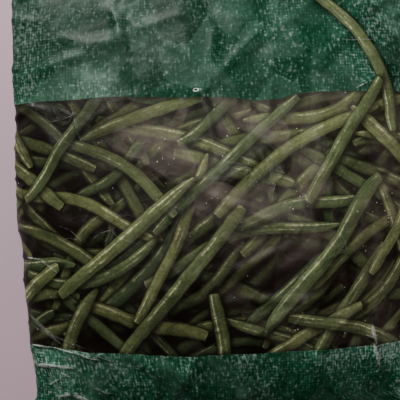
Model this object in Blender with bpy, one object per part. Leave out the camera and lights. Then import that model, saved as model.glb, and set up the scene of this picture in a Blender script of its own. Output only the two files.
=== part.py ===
"""Pillow bag of whole green beans, lying on its back with the printed front up.

+X is the bag's right seen from above, +Y its top end, +Z up from the surface that it lies on.
The origin is on that surface, under the middle of the bag. Sizes are in metres.
"""

import math
import random

import bmesh
import bpy
from mathutils import Vector

# The film tube laid flat, and the filled bag.
BAG_WIDTH = 0.246
BAG_LENGTH = 0.300
BAG_DEPTH = 0.038
FILM = 0.0006

# The crimped seals across both ends.
SEAL_WIDTH = 0.011
SEAL_THICKNESS = 0.0016
SEAL_LIFT = 0.0062
SEAL_WAVE = 0.0016

# How the beans fill it: they have settled towards the bottom end.
SETTLING = 0.70
END_ROUNDNESS = 0.62
SIDE_POWER = 2.4
SIDE_ROUNDNESS = 0.62
SIDE_HEIGHT_SHARE = 0.36
SIDE_PULL_IN = 0.16
FLAT_BACK = 0.72
FLAT_BACK_FROM = 0.5
SIDE_WOBBLE = 0.0008

# The sides are tucked in most just above the bottom seal, and less below the top one.
BOTTOM_TUCK = 0.0080
TOP_TUCK = 0.0035
TUCK_AT = 0.055
TUCK_REACH = 0.20

# The long seal down the back: a fin that is folded flat to one side.
FIN_WIDTH = 0.014
FIN_LAYERS = 0.0012
GROOVE_WIDTH = 0.001
GROOVE_DEPTH = 0.0006

# Soft lumps that the beans press into the front.
LUMP_COUNT = 26
LUMP_HEIGHT = 0.0022
LUMP_LENGTH = 0.034
LUMP_BREADTH = 0.013
LUMP_SEED = 11

# Pin vents through the front film: (x, y) of each.
VENTS = [(-0.0103, 0.0495), (-0.0049, -0.0914)]
VENT_RADIUS = 0.00075
VENT_SIDES = 8
VENT_REACH = 0.003

# Mesh stations over the film.
FRONT_COLUMNS = 20
BODY_ROWS = 26
BACK_STATIONS = [0.4, 0.72, 0.8, 0.87, 0.93, 0.98, 1.0]

# One bean, from its cut stem end to its tip: (share of the length, share of the radius).
BEAN_RADIUS = 0.0033
BEAN_SIDES = 5
BEAN_PROFILE = [(0.0, 0.88), (0.34, 1.0), (0.72, 0.92), (1.0, 0.30)]
BEAN_SHORTEST = 0.070
BEAN_LONGEST = 0.112
BEAN_BEND = math.radians(18)

# The beans lie in layers, and those of a layer are frozen together where they cross.
LAYERS = [("beans_bottom", 28), ("beans_middle", 22), ("beans_top", 10)]
LAYER_SLACK = 0.0015
LAYER_GAP = 0.0006
LAYER_TRIES = 3000
HELD_TOGETHER = 1.1
GRAZE = (1.75, 2.12)
BEAN_SEED = 5

BODY_BOTTOM = -BAG_LENGTH / 2 + SEAL_WIDTH
BODY_TOP = BAG_LENGTH / 2 - SEAL_WIDTH


def clear_scene():
    """Removes whatever the file holds before the bag is made."""
    for obj in list(bpy.data.objects):
        bpy.data.objects.remove(obj)


def material(name, colour, roughness):
    """A Principled material of one colour."""
    made = bpy.data.materials.new(name)
    made.use_nodes = True
    shader = made.node_tree.nodes["Principled BSDF"]
    shader.inputs["Base Color"].default_value = (*colour, 1.0)
    shader.inputs["Roughness"].default_value = roughness
    return made


def smoothstep(value):
    """0 below 0, 1 above 1 and an even S between."""
    value = min(max(value, 0.0), 1.0)
    return value * value * (3 - 2 * value)


def body_y(share):
    """y at a share of the way from the bottom seal to the top seal."""
    return BODY_BOTTOM + (BODY_TOP - BODY_BOTTOM) * share


def fullness(y):
    """Share of the full depth at y: 0 at the seals and 1 where the bag is thickest."""
    share = (y - BODY_BOTTOM) / (BODY_TOP - BODY_BOTTOM)
    share = min(max(share, 0.0), 1.0)
    return max(math.sin(math.pi * share**SETTLING), 0.0) ** END_ROUNDNESS


def tuck(y):
    """How far the sides are tucked in at y, towards the corners."""
    low = (y - BODY_BOTTOM) / (BODY_TOP - BODY_BOTTOM)
    tucked = 0.0
    for share, depth in ((low, BOTTOM_TUCK), (1 - low, TOP_TUCK)):
        reach = TUCK_REACH if share > TUCK_AT else TUCK_AT / 2
        tucked += depth * smoothstep(share / TUCK_AT) * math.exp(-(((share - TUCK_AT) / reach) ** 2))
    return tucked


def half_width(y, side):
    """Half the bag's width at y. The film that goes round the beans is taken from the width."""
    full = fullness(y)
    wobble = math.sin(71 * y + 1.3 * side) + 0.6 * math.sin(163 * y + 2.1 + side)
    return BAG_WIDTH / 2 - SIDE_PULL_IN * BAG_DEPTH * full - tuck(y) - SIDE_WOBBLE * wobble * full


def seal_height(s):
    """Height of the seal's middle plane, with the slow wave of an end that hangs free."""
    return SEAL_LIFT + SEAL_WAVE * math.cos(1.6 * math.pi * s + 0.5)


def side_height(s, y):
    """Height of the folded side edge at y."""
    full = fullness(y)
    return seal_height(s) * (1 - full) + SIDE_HEIGHT_SHARE * BAG_DEPTH * full


def front_lumps():
    """Seeded places and headings of the lumps, as (x, y, cosine, sine, height)."""
    draw = random.Random(LUMP_SEED)
    lumps = []
    for _ in range(LUMP_COUNT):
        x = draw.uniform(-0.42, 0.42) * BAG_WIDTH
        y = draw.uniform(-0.42, 0.36) * BAG_LENGTH
        turn = draw.uniform(0, math.pi)
        height = LUMP_HEIGHT * draw.uniform(0.4, 1.0)
        lumps.append((x, y, math.cos(turn), math.sin(turn), height))
    return lumps


LUMPS = front_lumps()


def lump_rise(x, y):
    """How far the lumps lift the front film at a point."""
    rise = 0.0
    for lump_x, lump_y, cosine, sine, height in LUMPS:
        along = (x - lump_x) * cosine + (y - lump_y) * sine
        across = (y - lump_y) * cosine - (x - lump_x) * sine
        rise += height * math.exp(-((along / LUMP_LENGTH) ** 2) - (across / LUMP_BREADTH) ** 2)
    return min(rise, 1.3 * LUMP_HEIGHT)


def front_height(s, y):
    """Height of the front film's outer face, with s from -1 to 1 across the bag."""
    full = fullness(y)
    middle = seal_height(s) + SEAL_THICKNESS / 2
    crown = middle + (BAG_DEPTH - middle) * full
    edge = side_height(s, y) + SEAL_THICKNESS / 2
    share = max(1 - abs(s) ** SIDE_POWER, 0.0) ** SIDE_ROUNDNESS
    side = 1 if s > 0 else -1
    lumps = lump_rise(s * half_width(y, side), y) * share * smoothstep(2 * full)
    return edge + (crown - edge) * share + lumps


def back_height(s, y):
    """Height of the back film's outer face: flat on the surface, then turning up to the sides and ends."""
    base = (seal_height(s) - SEAL_THICKNESS / 2) * (1 - smoothstep(fullness(y) / FLAT_BACK_FROM))
    edge = side_height(s, y) - SEAL_THICKNESS / 2
    past = max((abs(s) - FLAT_BACK) / (1 - FLAT_BACK), 0.0)
    return base + (edge - base) * (1 - math.sqrt(max(1 - past * past, 0.0)))


def front_row(y, inset):
    """The front's points at y, from the left side to the right, on the outer face or inset from it."""
    points = []
    for column in range(FRONT_COLUMNS + 1):
        even = 2 * column / FRONT_COLUMNS - 1
        s = 0.6 * even + 0.4 * math.sin(math.pi / 2 * even)
        side = 1 if s > 0 else -1
        x = s * (half_width(y, side) - inset)
        points.append(Vector((x, y, front_height(s, y) - inset)))
    return points


def fin_stations(inset):
    """The fold and the free edge of the fin, as (x, rise): grooves outside, a raised pad inside."""
    grooves = [0.0, GROOVE_DEPTH, 0.0, 0.0, GROOVE_DEPTH, 0.0]
    rises = [FIN_LAYERS] * 6 if inset else grooves
    fold = [-GROOVE_WIDTH, -GROOVE_WIDTH / 2, 0.0]
    edge = [FIN_WIDTH, FIN_WIDTH + GROOVE_WIDTH / 2, FIN_WIDTH + GROOVE_WIDTH]
    inner = list(zip(fold + edge, rises))
    return [(-2 * GROOVE_WIDTH, 0.0), *inner, (FIN_WIDTH + 2 * GROOVE_WIDTH, 0.0)]


def back_row(y, inset):
    """The back's points at y, from the right side to the left."""
    right, left = half_width(y, 1) - inset, half_width(y, -1) - inset
    stations = [(s * right, s, 0.0) for s in reversed(BACK_STATIONS)]
    stations += [(x, x / right, rise) for x, rise in reversed(fin_stations(inset))]
    stations += [(-s * left, -s, 0.0) for s in BACK_STATIONS]
    return [Vector((x, y, back_height(s, y) + inset + rise)) for x, s, rise in stations]


def add_tube(mesh, rings, inward):
    """Skins the closed rings and caps both ends, with faces out, or into the tube's own inside."""
    loops = [[mesh.verts.new(point) for point in ring] for ring in rings]
    faces = []
    for first, second in zip(loops, loops[1:]):
        for i in range(len(first)):
            j = (i + 1) % len(first)
            faces.append(mesh.faces.new((first[i], first[j], second[j], second[i])))
    faces.append(mesh.faces.new(list(reversed(loops[0]))))
    faces.append(mesh.faces.new(loops[-1]))
    if inward:
        bmesh.ops.reverse_faces(mesh, faces=faces)
    return faces


def body_shares():
    """Shares of the body's length where it has rows, closer together towards the seals."""
    shares = []
    for row in range(BODY_ROWS + 1):
        even = 2 * row / BODY_ROWS - 1
        shares.append(0.5 + 0.5 * (0.55 * even + 0.45 * math.sin(math.pi / 2 * even)))
    return shares


def film_mesh():
    """The film's outer face with the flat seals, and the inner face of the space for the beans."""
    mesh = bmesh.new()
    shares = body_shares()
    rows = [-BAG_LENGTH / 2, *(body_y(share) for share in shares), BAG_LENGTH / 2]
    add_tube(mesh, [front_row(y, 0.0) + back_row(y, 0.0) for y in rows], inward=True)
    inner = [body_y(share) for share in shares[1:-1]]
    add_tube(mesh, [front_row(y, FILM) + back_row(y, FILM) for y in inner], inward=False)
    bmesh.ops.triangulate(mesh, faces=mesh.faces[:])
    made = bpy.data.meshes.new("film_bag")
    mesh.to_mesh(made)
    mesh.free()
    return made


def new_object(name, mesh, look):
    """Links an object with this mesh and material to the scene."""
    obj = bpy.data.objects.new(name, mesh)
    bpy.context.scene.collection.objects.link(obj)
    mesh.materials.append(look)
    return obj


def vent_cutter(x, y):
    """A guide for one pin vent, which goes through the front film only."""
    s = x / half_width(y, 1 if x > 0 else -1)
    bpy.ops.mesh.primitive_cylinder_add(
        vertices=VENT_SIDES,
        radius=VENT_RADIUS,
        depth=2 * VENT_REACH,
        location=(x, y, front_height(s, y)),
    )
    cutter = bpy.context.object
    cutter.name = "cut_vent"
    cutter.hide_render = True
    cutter.display_type = "WIRE"
    return cutter


def film_bag(look):
    """The printed film: one sheet made into a tube, sealed down the back and across both ends."""
    bag = new_object("film_bag", film_mesh(), look)
    for x, y in VENTS:
        cut = bag.modifiers.new("pin vent", "BOOLEAN")
        cut.operation = "DIFFERENCE"
        cut.object = vent_cutter(x, y)
    return bag


def bean_line(centre, heading, length, bend, heights):
    """Points of a bean's gently bent middle line. heights are those of its two ends."""
    points = []
    for share, _ in BEAN_PROFILE:
        turned = heading + bend * (share - 0.5)
        along = length * (share - 0.5)
        sag = length * bend * ((share - 0.5) ** 2 - 1 / 12) / 2
        x = centre[0] + along * math.cos(turned) - sag * math.sin(heading)
        y = centre[1] + along * math.sin(turned) + sag * math.cos(heading)
        z = heights[0] + (heights[1] - heights[0]) * share
        points.append(Vector((x, y, z)))
    return points


def clear_of_film(points):
    """Whether a bean with this middle line stays inside the film with room to spare."""
    room = BEAN_RADIUS + FILM + LAYER_GAP
    for first, second in zip(points, points[1:]):
        for step in range(5):
            x, y, z = first.lerp(second, step / 4)
            if not BODY_BOTTOM + 2 * room < y < BODY_TOP - 2 * room:
                return False
            for near_x in (x - room, x + room):
                for near_y in (y - room, y + room):
                    s = near_x / half_width(near_y, 1 if near_x > 0 else -1)
                    if abs(s) > 0.97:
                        return False
                    if front_height(s, near_y) - z < room:
                        return False
                    if z - back_height(s, near_y) - FIN_LAYERS < room:
                        return False
    return True


def segment_gap(a, b, c, d):
    """Shortest distance between the segments a-b and c-d, read at close steps of one of them."""
    nearest = math.inf
    along = d - c
    for step in range(9):
        point = a.lerp(b, step / 8)
        share = min(max((point - c).dot(along) / along.length_squared, 0.0), 1.0)
        nearest = min(nearest, (point - c - along * share).length)
    return nearest


def line_gap(first, second):
    """Shortest distance between two beans' middle lines."""
    return min(
        segment_gap(a, b, c, d)
        for a, b in zip(first, first[1:])
        for c, d in zip(second, second[1:])
    )


def layer_lines(level, count, draw):
    """Middle lines of one layer's beans. Each new one crosses at least one that is there already."""
    pitch = 2 * BEAN_RADIUS + 2 * LAYER_SLACK + LAYER_GAP
    lowest = FILM + FIN_LAYERS + LAYER_GAP + BEAN_RADIUS + LAYER_SLACK
    middle = lowest + LAYER_GAP + level * pitch
    lines = []
    for _ in range(LAYER_TRIES):
        if len(lines) == count:
            break
        centre = (draw.uniform(-0.4, 0.4) * BAG_WIDTH, draw.uniform(-0.43, 0.4) * BAG_LENGTH)
        heights = [middle + draw.uniform(-1, 1) * LAYER_SLACK for _ in range(2)]
        length = draw.uniform(BEAN_SHORTEST, BEAN_LONGEST)
        bend = draw.uniform(-1, 1) * BEAN_BEND
        line = bean_line(centre, draw.uniform(0, 2 * math.pi), length, bend, heights)
        if not clear_of_film(line):
            continue
        gaps = [line_gap(line, other) / BEAN_RADIUS for other in lines]
        grazes = any(GRAZE[0] < gap < GRAZE[1] for gap in gaps)
        if not grazes and (not lines or min(gaps) < HELD_TOGETHER):
            lines.append(line)
    return lines


def bean_mesh(line):
    """One bean: a tube with a cut stem end and a narrow tip."""
    mesh = bmesh.new()
    rings = []
    for index, point in enumerate(line):
        before, after = line[max(index - 1, 0)], line[min(index + 1, len(line) - 1)]
        forward = (after - before).normalized()
        across = forward.cross(Vector((0, 0, 1))).normalized()
        up = across.cross(forward)
        radius = BEAN_RADIUS * BEAN_PROFILE[index][1]
        turns = [2 * math.pi * k / BEAN_SIDES for k in range(BEAN_SIDES)]
        rings.append([point + radius * (across * math.cos(a) + up * math.sin(a)) for a in turns])
    add_tube(mesh, rings, inward=False)
    bmesh.ops.recalc_face_normals(mesh, faces=mesh.faces[:])
    bmesh.ops.triangulate(mesh, faces=mesh.faces[:])
    made = bpy.data.meshes.new("bean")
    mesh.to_mesh(made)
    mesh.free()
    return made


def bean_layer(name, lines, look):
    """One layer of beans, joined where they cross."""
    layer = new_object(name, bean_mesh(lines[0]), look)
    rest = bpy.data.collections.new(name)
    bpy.context.scene.collection.children.link(rest)
    for line in lines[1:]:
        rest.objects.link(bpy.data.objects.new("bean", bean_mesh(line)))
    union = layer.modifiers.new("frozen together", "BOOLEAN")
    union.operation = "UNION"
    union.operand_type = "COLLECTION"
    union.collection = rest
    union.solver = "MANIFOLD"
    evaluated = layer.evaluated_get(bpy.context.evaluated_depsgraph_get())
    joined = bpy.data.meshes.new_from_object(evaluated)
    layer.modifiers.clear()
    layer.data = joined
    for bean in list(rest.objects):
        bpy.data.objects.remove(bean)
    bpy.data.collections.remove(rest)
    return layer


def main():
    clear_scene()
    film_look = material("printed film", (0.035, 0.115, 0.070), 0.30)
    bean_look = material("green bean", (0.110, 0.190, 0.045), 0.45)
    film_bag(film_look)
    draw = random.Random(BEAN_SEED)
    for level, (name, count) in enumerate(LAYERS):
        bean_layer(name, layer_lines(level, count, draw), bean_look)


main()
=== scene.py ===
"""Dresses a filled bag of frozen green beans: printed film, crimped seals, back fin and contents.

Metres, +Z up. The bag lies on its back with its printed front up and its top end towards +Y. Places on
the flat film are (p, q): p runs round the film tube from 0 at the middle of the front to the back seal on
either side, and q runs along the tube.
"""

import math
import random

import bmesh
import bpy
import numpy as np
from bpy.props import FloatProperty, FloatVectorProperty, IntProperty, PointerProperty
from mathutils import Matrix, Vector
from mathutils.geometry import delaunay_2d_cdt


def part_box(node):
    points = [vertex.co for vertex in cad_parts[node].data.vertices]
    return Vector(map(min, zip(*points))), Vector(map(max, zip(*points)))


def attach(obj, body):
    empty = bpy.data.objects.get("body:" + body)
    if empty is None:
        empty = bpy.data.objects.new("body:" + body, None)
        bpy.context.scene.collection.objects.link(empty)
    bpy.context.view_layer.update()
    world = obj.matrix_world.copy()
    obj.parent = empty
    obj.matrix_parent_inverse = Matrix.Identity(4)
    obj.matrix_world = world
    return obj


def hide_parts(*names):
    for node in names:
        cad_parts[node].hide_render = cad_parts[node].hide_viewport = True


bl_info = {
    "name": "Bag of Green Beans",
    "version": (1, 0, 0),
    "blender": (4, 5, 0),
    "location": "3D View > Sidebar > Bean Bag",
    "description": "Printed film, crimped seals, back fin and contents of a filled bag of green beans",
    "category": "Object",
}

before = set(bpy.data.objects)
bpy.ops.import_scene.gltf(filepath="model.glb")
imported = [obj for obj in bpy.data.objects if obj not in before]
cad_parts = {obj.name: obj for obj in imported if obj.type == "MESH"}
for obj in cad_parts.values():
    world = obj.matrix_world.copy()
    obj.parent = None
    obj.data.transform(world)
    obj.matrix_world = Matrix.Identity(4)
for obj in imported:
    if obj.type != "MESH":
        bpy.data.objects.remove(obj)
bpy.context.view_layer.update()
FILM_LOW, FILM_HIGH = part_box("film_bag")

# The filled bag, as in the CAD.
BAG_WIDTH = FILM_HIGH.x - FILM_LOW.x
BAG_LENGTH = FILM_HIGH.y - FILM_LOW.y
BAG_DEPTH = 0.038
SEAL_WIDTH = 0.011
SEAL_LIFT = 0.0062
SEAL_WAVE = 0.0016
SETTLING = 0.70
END_ROUNDNESS = 0.62
SIDE_POWER = 2.4
SIDE_ROUNDNESS = 0.62
SIDE_HEIGHT_SHARE = 0.36
SIDE_PULL_IN = 0.16
FLAT_BACK = 0.72
FLAT_BACK_FROM = 0.5
SIDE_WOBBLE = 0.0008
BOTTOM_TUCK = 0.0080
TOP_TUCK = 0.0035
TUCK_AT = 0.055
TUCK_REACH = 0.20
LUMP_COUNT = 26
LUMP_HEIGHT = 0.0022
LUMP_LENGTH = 0.034
LUMP_BREADTH = 0.013
LUMP_SEED = 11
FIN_WIDTH = 0.014
HALF_WIDTH = BAG_WIDTH / 2
HALF_LENGTH = BAG_LENGTH / 2
BODY_BOTTOM = -HALF_LENGTH + SEAL_WIDTH
BODY_TOP = HALF_LENGTH - SEAL_WIDTH

# The real film is thin, so the two sheets of a seal lie this close.
SHEET_GAP = 0.0005

# Beans pressed against the film, puckers at the end seals and pleats at the side folds: least and
# greatest measures.
PRESSED_HALF_LENGTH = (0.022, 0.042)
PRESSED_BREADTH = (0.0026, 0.0042)
PUCKER_SPACING = (0.005, 0.017)
PUCKER_LENGTH = (0.014, 0.048)
PUCKER_BREADTH = (0.0014, 0.0034)
FLATTER_PUCKER = 0.45
PLEAT_SPACING = (0.006, 0.016)
PLEAT_ON_FRONT = (0.008, 0.030)
PLEAT_ON_BACK = (0.004, 0.010)
PLEAT_BREADTH = (0.0012, 0.0030)

# How far the fine ripple of the film, the dip beside the fin and the wave of the ends rise or fall.
RIPPLE_HEIGHT = 0.010
FIN_DIP = 0.0009
END_WAVE = 0.0011

# Steps of the table that the film's shape is read from.
TABLE_STEP = 0.001
NORMAL_STEP = 0.0011


def srgb(red, green, blue):
    """A colour given in 0-255 display values, as linear values."""
    return tuple((value / 255) ** 2.2 for value in (red, green, blue))


def smooth(value):
    """0 below 0, 1 above 1 and an even S between, for numbers and arrays."""
    value = np.clip(value, 0.0, 1.0)
    return value * value * (3 - 2 * value)


class FilmSettings(bpy.types.PropertyGroup):
    """Sizes of the film's mesh and of its creases."""

    front_step: FloatProperty(
        name="Front step", description="Mesh step on the front", default=0.00125, unit="LENGTH"
    )
    back_step: FloatProperty(
        name="Back step", description="Mesh step on the back", default=0.003, unit="LENGTH"
    )
    tooth_pitch: FloatProperty(
        name="Tooth pitch", description="Pitch of the zigzag cut at both ends", default=0.003, unit="LENGTH"
    )
    tooth_depth: FloatProperty(
        name="Tooth depth", description="Depth of the zigzag cut", default=0.0011, unit="LENGTH"
    )
    pressed_beans: IntProperty(
        name="Pressed beans", description="Beans that show as soft ridges through the film", default=95
    )
    pressed_height: FloatProperty(
        name="Ridge height", description="Height of the highest such ridge", default=0.0009, unit="LENGTH"
    )
    pucker_height: FloatProperty(
        name="Pucker height", description="Height of puckers at the seals", default=0.0016, unit="LENGTH"
    )
    pleat_height: FloatProperty(
        name="Pleat height", description="Height of pleats at the sides", default=0.0013, unit="LENGTH"
    )


class PrintSettings(bpy.types.PropertyGroup):
    """The printed picture of beans and the woven-look print round it."""

    beans: IntProperty(name="Beans", description="Beans in the printed picture", default=185)
    bean_radius: FloatProperty(
        name="Bean radius", description="Half the width of a printed bean", default=0.0037, unit="LENGTH"
    )
    cloth: FloatVectorProperty(
        name="Cloth", description="Woven-look print", subtype="COLOR", default=srgb(32, 84, 62)
    )
    thread: FloatVectorProperty(
        name="Thread", description="Pale threads in it", subtype="COLOR", default=srgb(160, 180, 172)
    )
    bright_bean: FloatVectorProperty(
        name="Bright bean",
        description="Lit side of the yellowest beans",
        subtype="COLOR",
        default=srgb(138, 148, 94),
    )
    dull_bean: FloatVectorProperty(
        name="Dull bean",
        description="Lit side of the bluest beans",
        subtype="COLOR",
        default=srgb(90, 110, 74),
    )
    gap: FloatVectorProperty(
        name="Gap", description="Dark between the beans", subtype="COLOR", default=srgb(22, 14, 7)
    )


class RibSettings(bpy.types.PropertyGroup):
    """Crimped ribs across the seals."""

    count: IntProperty(name="Ribs", description="Ribs across one end seal", default=6)
    spacing: FloatProperty(name="Spacing", description="From rib to rib", default=0.0013, unit="LENGTH")
    radius: FloatProperty(
        name="Radius", description="Half the thickness of a rib", default=0.0004, unit="LENGTH"
    )


class ContentsSettings(bpy.types.PropertyGroup):
    """The frozen beans inside."""

    skin: FloatVectorProperty(
        name="Skin", description="Bean skin", subtype="COLOR", default=srgb(92, 120, 58)
    )
    rounding: IntProperty(
        name="Rounding", description="Subdivision levels of the beans", default=2, min=1, max=2
    )


class StageSettings(bpy.types.PropertyGroup):
    """Camera, floor and light."""

    mm_per_pixel: FloatProperty(
        name="Millimetres a pixel", description="Scale of the view at the bag's front", default=0.545
    )
    lens: FloatProperty(name="Lens", description="Focal length in millimetres", default=55.0)
    roll: FloatProperty(
        name="Roll", description="Turn of the view", subtype="ANGLE", default=math.radians(-2.2)
    )
    floor: FloatVectorProperty(
        name="Floor", description="Colour of the floor", subtype="COLOR", default=(0.60, 0.435, 0.52)
    )
    key: FloatProperty(name="Key light", description="Power of the large soft light in watts", default=20.0)
    fill: FloatProperty(name="Fill light", description="Power of the overhead light in watts", default=2.2)
    ambient: FloatProperty(name="Ambient", description="Strength of the even light all round", default=0.06)


def fullness(y):
    """Share of the full depth at y: 0 at the seals and 1 where the bag is thickest."""
    share = np.clip((y - BODY_BOTTOM) / (BODY_TOP - BODY_BOTTOM), 0.0, 1.0)
    return np.maximum(np.sin(np.pi * share**SETTLING), 0.0) ** END_ROUNDNESS


def tuck(y):
    """How far the sides are tucked in at y, towards the corners."""
    low = (y - BODY_BOTTOM) / (BODY_TOP - BODY_BOTTOM)
    tucked = 0.0
    for share, depth in ((low, BOTTOM_TUCK), (1 - low, TOP_TUCK)):
        reach = TUCK_REACH if share > TUCK_AT else TUCK_AT / 2
        tucked += depth * smooth(share / TUCK_AT) * math.exp(-(((share - TUCK_AT) / reach) ** 2))
    return tucked


def half_width(y, side):
    """Half the bag's width at y, on the side -1 or 1."""
    full = fullness(y)
    wobble = math.sin(71 * y + 1.3 * side) + 0.6 * math.sin(163 * y + 2.1 + side)
    return HALF_WIDTH - SIDE_PULL_IN * BAG_DEPTH * full - tuck(y) - SIDE_WOBBLE * wobble * full


def seal_height(s):
    """Height of the seal's middle plane."""
    return SEAL_LIFT + SEAL_WAVE * np.cos(1.6 * np.pi * s + 0.5)


def front_lumps():
    """Seeded places and headings of the broad lumps, as (x, y, cosine, sine, height)."""
    draw = random.Random(LUMP_SEED)
    lumps = []
    for _ in range(LUMP_COUNT):
        x = draw.uniform(-0.42, 0.42) * BAG_WIDTH
        y = draw.uniform(-0.42, 0.36) * BAG_LENGTH
        turn = draw.uniform(0, math.pi)
        height = LUMP_HEIGHT * draw.uniform(0.4, 1.0)
        lumps.append((x, y, math.cos(turn), math.sin(turn), height))
    return lumps


LUMPS = front_lumps()


def lump_rise(x, y):
    """How far the lumps lift the front film at a point."""
    rise = np.zeros_like(x)
    for lump_x, lump_y, cosine, sine, height in LUMPS:
        along = (x - lump_x) * cosine + (y - lump_y) * sine
        across = (y - lump_y) * cosine - (x - lump_x) * sine
        rise += height * np.exp(-((along / LUMP_LENGTH) ** 2) - (across / LUMP_BREADTH) ** 2)
    return np.minimum(rise, 1.3 * LUMP_HEIGHT)


def film_heights(s, y):
    """Heights of the front and the back film at y, for s from -1 to 1 across the bag."""
    full = fullness(y)
    seal = seal_height(s)
    edge = seal * (1 - full) + SIDE_HEIGHT_SHARE * BAG_DEPTH * full
    crown = seal + SHEET_GAP / 2 + (BAG_DEPTH - seal) * full
    share = np.maximum(1 - np.abs(s) ** SIDE_POWER, 0.0) ** SIDE_ROUNDNESS
    x = np.where(s > 0, s * half_width(y, 1), s * half_width(y, -1))
    front = edge + SHEET_GAP / 2
    front = front + (crown - front) * share + lump_rise(x, y) * share * smooth(2 * full)
    base = (seal - SHEET_GAP / 2) * (1 - smooth(full / FLAT_BACK_FROM))
    past = np.maximum((np.abs(s) - FLAT_BACK) / (1 - FLAT_BACK), 0.0)
    lift = 1 - np.sqrt(np.maximum(1 - past * past, 0.0))
    back = base + (edge - SHEET_GAP / 2 - base) * lift
    return x, front, back


class Ridges:
    """Soft ridges or sharp creases on the flat film, each with two ends, a height and a half width."""

    def __init__(self):
        self.rows = []

    def add(self, start, end, height, breadth, sharp=False):
        """Adds one ridge or crease."""
        self.rows.append((Vector(start), Vector(end), height, breadth, sharp))

    def rise(self, p, q):
        """Summed outward rise at the places (p, q)."""
        total = np.zeros_like(p)
        for start, end, height, breadth, sharp in self.rows:
            run = end - start
            length = run.length
            along = ((p - start.x) * run.x + (q - start.y) * run.y) / length
            across = ((q - start.y) * run.x - (p - start.x) * run.y) / length
            near = (along > -breadth) & (along < length + breadth) & (np.abs(across) < 4 * breadth)
            share = np.clip(along[near] / length, 0.0, 1.0)
            taper = np.sin(np.pi * (0.04 + 0.92 * share)) ** 0.6
            gap = np.abs(across[near]) / breadth
            profile = np.exp(-1.6 * gap) if sharp else np.exp(-gap * gap)
            total[near] += height * taper * profile
        return total


def pressed_ridges(settings, draw):
    """Beans under the film: long soft ridges in all directions over the front."""
    ridges = Ridges()
    for _ in range(settings.pressed_beans):
        p = draw.uniform(-0.47, 0.47) * BAG_WIDTH
        q = draw.uniform(BODY_BOTTOM + 0.02, BODY_TOP - 0.03)
        turn = draw.uniform(0, math.pi)
        half = draw.uniform(*PRESSED_HALF_LENGTH)
        reach = Vector((math.cos(turn), math.sin(turn))) * half
        height = settings.pressed_height * draw.uniform(0.25, 1.0)
        place = Vector((p, q))
        ridges.add(place - reach, place + reach, height, draw.uniform(*PRESSED_BREADTH))
    return ridges


def seal_puckers(settings, draw):
    """Puckers that run from each end seal into the body, on the front and on the back."""
    ridges = Ridges()
    for end in (-1, 1):
        p = -0.98 * BAG_WIDTH
        while p < 0.98 * BAG_WIDTH:
            p += draw.uniform(*PUCKER_SPACING)
            on_back = abs(p) > HALF_WIDTH
            length = draw.uniform(*PUCKER_LENGTH) * (0.6 if on_back else 1.0)
            near = end * (BODY_TOP + 0.001)
            start = (p, near)
            finish = (p + draw.uniform(-0.3, 0.3) * length, near - end * length)
            height = settings.pucker_height * draw.uniform(0.25, 1.0)
            breadth = draw.uniform(*PUCKER_BREADTH)
            if on_back or end > 0:
                height *= FLATTER_PUCKER
            ridges.add(start, finish, height, breadth, draw.random() < 0.45)
    return ridges


def side_pleats(settings, draw):
    """Short pleats across both side folds, longer on the front than on the back."""
    ridges = Ridges()
    for side in (-1, 1):
        q = BODY_BOTTOM
        while q < BODY_TOP:
            q += draw.uniform(*PLEAT_SPACING)
            front = draw.uniform(*PLEAT_ON_FRONT)
            back = draw.uniform(*PLEAT_ON_BACK)
            slant = draw.uniform(-0.5, 0.5)
            start = (side * (HALF_WIDTH + back), q - slant * back)
            finish = (side * (HALF_WIDTH - front), q + slant * front)
            height = settings.pleat_height * draw.uniform(0.2, 1.0)
            ridges.add(start, finish, height, draw.uniform(*PLEAT_BREADTH), draw.random() < 0.5)
    return ridges


# Dents and ridges of the front, as (p, q) of both ends, height, half width and whether they are sharp.
DENTS = [
    ((-0.0585, 0.1000), (-0.0515, 0.0780), 0.0017, 0.0052, True),
    ((-0.0500, 0.1010), (-0.0475, 0.0720), -0.0009, 0.0020, False),
    ((-0.0466, 0.0680), (-0.0463, 0.0470), -0.0016, 0.0042, True),
    ((0.0573, 0.0760), (0.0538, 0.0430), -0.0019, 0.0060, True),
    ((0.0620, 0.0780), (0.0930, 0.0790), 0.0009, 0.0030, True),
    ((0.0375, 0.0890), (0.0435, 0.0790), -0.0010, 0.0016, True),
    ((-0.0085, 0.1030), (0.0088, 0.0825), -0.0014, 0.0024, True),
    ((0.0120, 0.0950), (0.0300, 0.0720), 0.0010, 0.0050, False),
    ((0.0870, -0.0800), (0.0930, -0.1060), 0.0012, 0.0030, False),
]

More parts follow.
